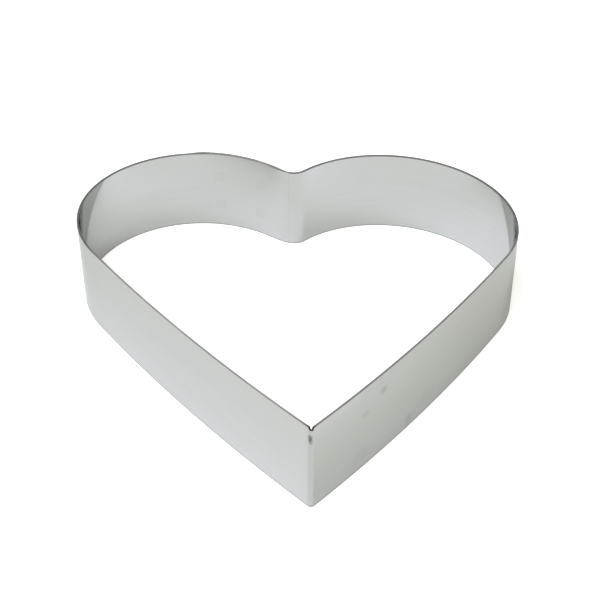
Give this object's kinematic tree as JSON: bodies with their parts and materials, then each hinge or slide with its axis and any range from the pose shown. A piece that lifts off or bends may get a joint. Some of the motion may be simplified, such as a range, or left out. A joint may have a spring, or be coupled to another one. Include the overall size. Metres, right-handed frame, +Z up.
{
  "type": "heart cake ring",
  "caption": "Open heart-shaped ring of bent stainless strip, lapped and spot welded on one lobe, for shaping cakes, mousses and pastry.",
  "frame": {"origin": "middle of the bounding box, on the plane of the lower edge", "axes": "+Z up through the open ring, the heart's point toward -Y and its cleft toward +Y"},
  "size_m": [0.1974, 0.2012, 0.04],
  "materials": {
    "strip_steel": "satin cold-rolled stainless",
    "weld_steel": "dull electrode mark on stainless"
  },
  "bodies": {
    "root": {"heart_band": "strip_steel", "spot_weld_crown_lower": "weld_steel", "spot_weld_crown_upper": "weld_steel", "spot_weld_cleft_lower": "weld_steel", "spot_weld_cleft_upper": "weld_steel"}
  },
  "joints": []
}
